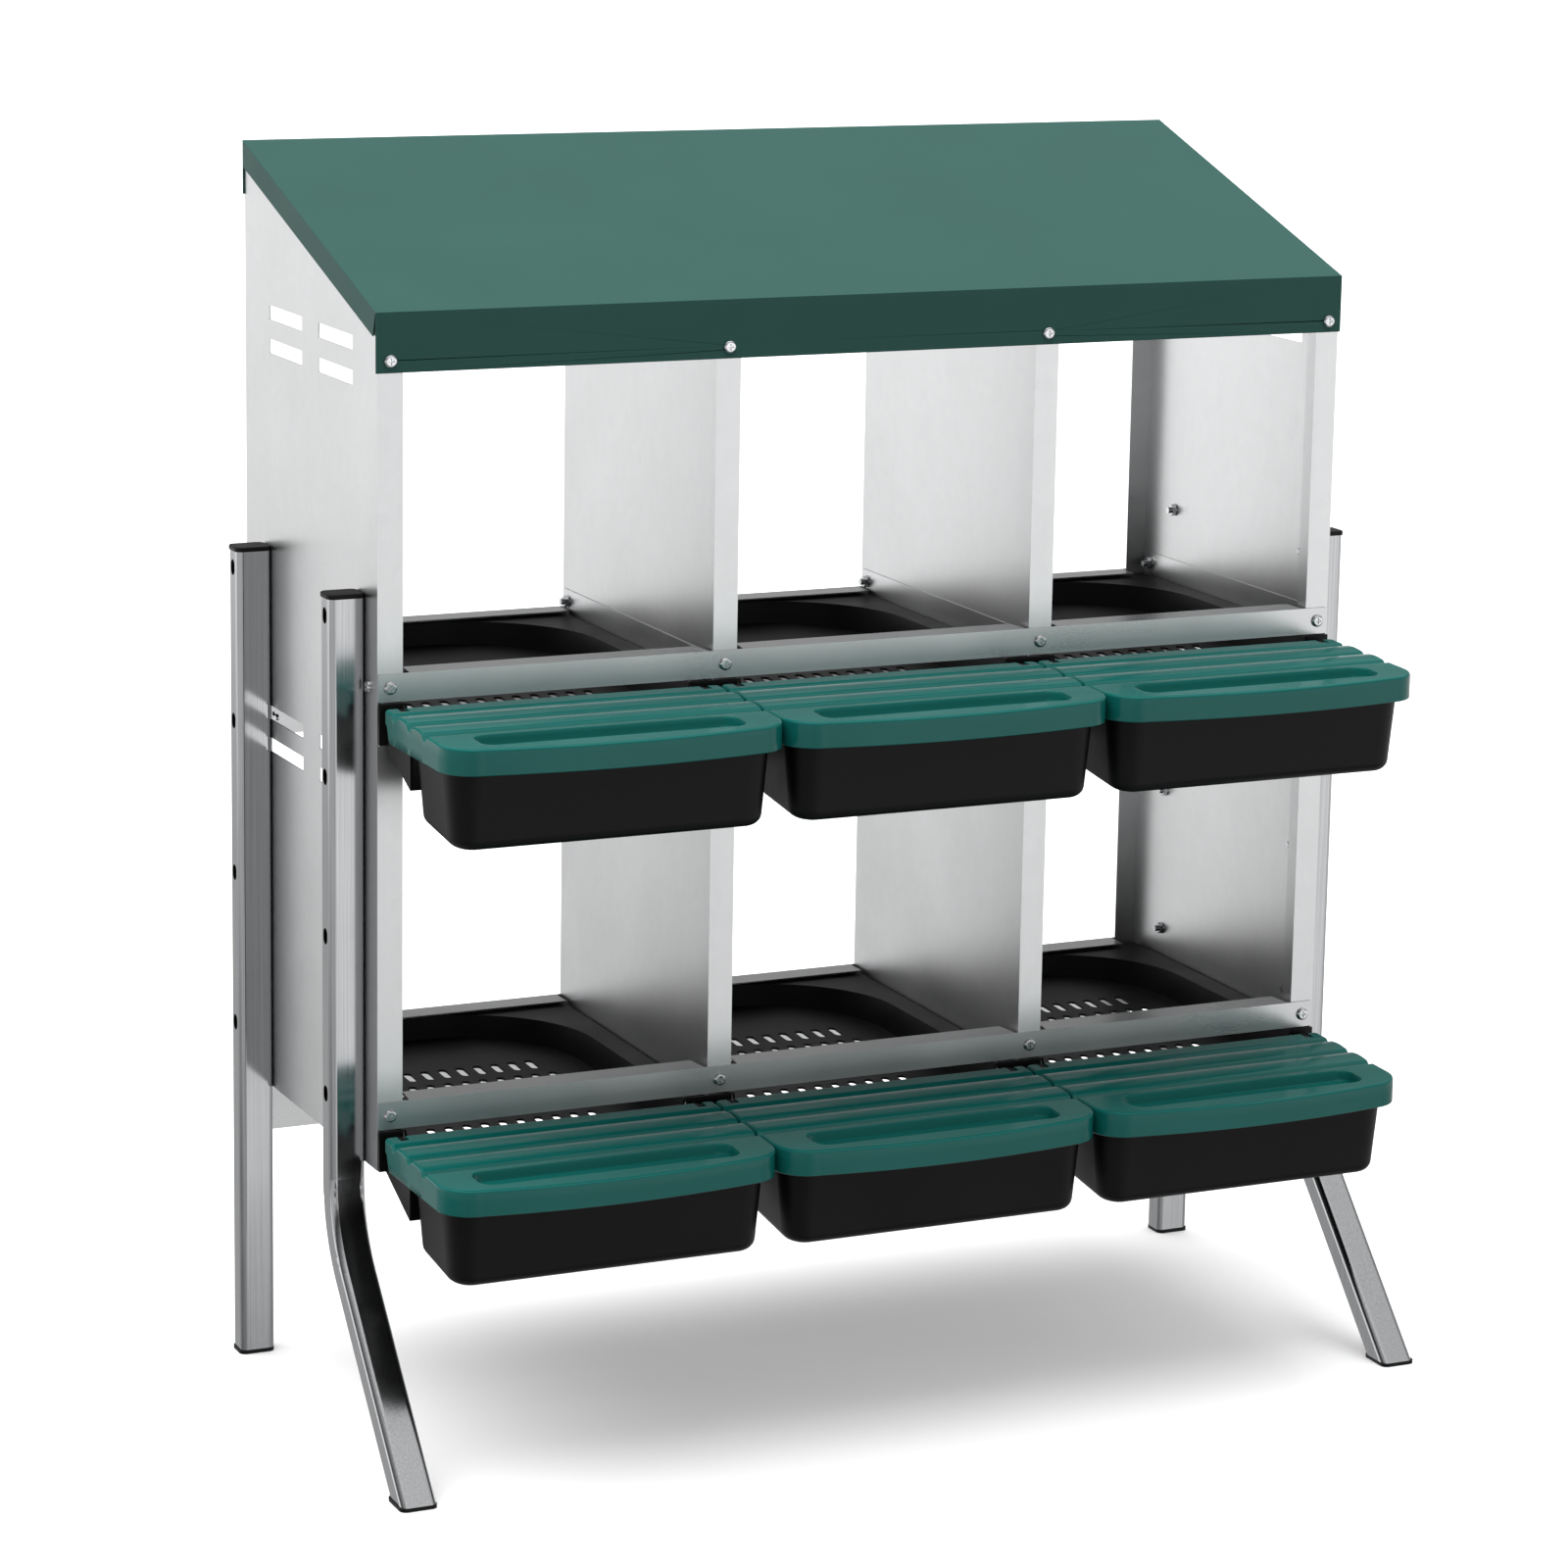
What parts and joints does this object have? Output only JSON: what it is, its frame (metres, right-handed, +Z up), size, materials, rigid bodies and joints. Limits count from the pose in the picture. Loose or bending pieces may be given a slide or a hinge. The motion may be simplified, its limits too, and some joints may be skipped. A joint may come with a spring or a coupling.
{
  "type": "nesting box",
  "caption": "Free-standing two-tier roll-out poultry nesting box: open galvanised body, sloped green roof, black nest trays with hinged green egg-basket lids, four tube legs.",
  "frame": {"origin": "on the floor, under the middle of the box's overall width and depth", "axes": "+X to the right along the front as a person facing the nests sees it, +Y from the front (egg baskets) to the back, +Z up"},
  "size_m": [0.982, 0.524, 1.0924],
  "materials": {
    "galvanised": "satin galvanised sheet",
    "roof_paint": "satin powder coat",
    "lid_green": "gloss moulded plastic",
    "tray_black": "fine-grained moulded plastic",
    "cap_black": "moulded plastic",
    "leg_plated": "bright zinc-plated tube",
    "fastener_zinc": "zinc-plated"
  },
  "bodies": {
    "stand": {"front_rail_lower": "galvanised", "front_rail_upper": "galvanised", "leg_bolts": "fastener_zinc", "leg_cap_front_left": "cap_black", "leg_cap_front_right": "cap_black", "leg_cap_rear_left": "cap_black", "leg_cap_rear_right": "cap_black", "leg_foot_front_left": "cap_black", "leg_foot_front_right": "cap_black", "leg_foot_rear_left": "cap_black", "leg_foot_rear_right": "cap_black", "leg_front_left": "leg_plated", "leg_front_right": "leg_plated", "leg_nuts": "fastener_zinc", "leg_rear_left": "leg_plated", "leg_rear_right": "leg_plated", "nest_tray_lower_left": "tray_black", "nest_tray_lower_middle": "tray_black", "nest_tray_lower_right": "tray_black", "nest_tray_upper_left": "tray_black", "nest_tray_upper_middle": "tray_black", "nest_tray_upper_right": "tray_black", "partition_left": "galvanised", "partition_right": "galvanised", "rail_nuts": "fastener_zinc", "rail_screws": "fastener_zinc", "rear_rail_lower": "galvanised", "rear_rail_nuts": "fastener_zinc", "rear_rail_screws": "fastener_zinc", "rear_rail_upper": "galvanised", "roof": "roof_paint", "roof_nuts": "fastener_zinc", "roof_screws": "fastener_zinc", "runner_bolts": "fastener_zinc", "runner_nuts": "fastener_zinc", "side_panel_left": "galvanised", "side_panel_right": "galvanised", "tray_runner_lower_left_l": "galvanised", "tray_runner_lower_left_r": "galvanised", "tray_runner_lower_middle_l": "galvanised", "tray_runner_lower_middle_r": "galvanised", "tray_runner_lower_right_l": "galvanised", "tray_runner_lower_right_r": "galvanised", "tray_runner_upper_left_l": "galvanised", "tray_runner_upper_left_r": "galvanised", "tray_runner_upper_middle_l": "galvanised", "tray_runner_upper_middle_r": "galvanised", "tray_runner_upper_right_l": "galvanised", "tray_runner_upper_right_r": "galvanised"},
    "lid_lower_left": {"basket_lid_lower_left": "lid_green"},
    "lid_lower_middle": {"basket_lid_lower_middle": "lid_green"},
    "lid_lower_right": {"basket_lid_lower_right": "lid_green"},
    "lid_upper_left": {"basket_lid_upper_left": "lid_green"},
    "lid_upper_middle": {"basket_lid_upper_middle": "lid_green"},
    "lid_upper_right": {"basket_lid_upper_right": "lid_green"}
  },
  "joints": [
    {"name": "lid_hinge_lower_left", "type": "hinge", "parent": "stand", "child": "lid_lower_left", "pos_m": [-0.305, -0.102, 0.2755], "axis": [-1, 0, 0], "range_deg": [0, 95]},
    {"name": "lid_hinge_lower_middle", "type": "hinge", "parent": "stand", "child": "lid_lower_middle", "pos_m": [0, -0.102, 0.2755], "axis": [-1, 0, 0], "range_deg": [0, 95]},
    {"name": "lid_hinge_lower_right", "type": "hinge", "parent": "stand", "child": "lid_lower_right", "pos_m": [0.305, -0.102, 0.2755], "axis": [-1, 0, 0], "range_deg": [0, 95]},
    {"name": "lid_hinge_upper_left", "type": "hinge", "parent": "stand", "child": "lid_upper_left", "pos_m": [-0.305, -0.102, 0.6455], "axis": [-1, 0, 0], "range_deg": [0, 95]},
    {"name": "lid_hinge_upper_middle", "type": "hinge", "parent": "stand", "child": "lid_upper_middle", "pos_m": [0, -0.102, 0.6455], "axis": [-1, 0, 0], "range_deg": [0, 95]},
    {"name": "lid_hinge_upper_right", "type": "hinge", "parent": "stand", "child": "lid_upper_right", "pos_m": [0.305, -0.102, 0.6455], "axis": [-1, 0, 0], "range_deg": [0, 95]}
  ]
}
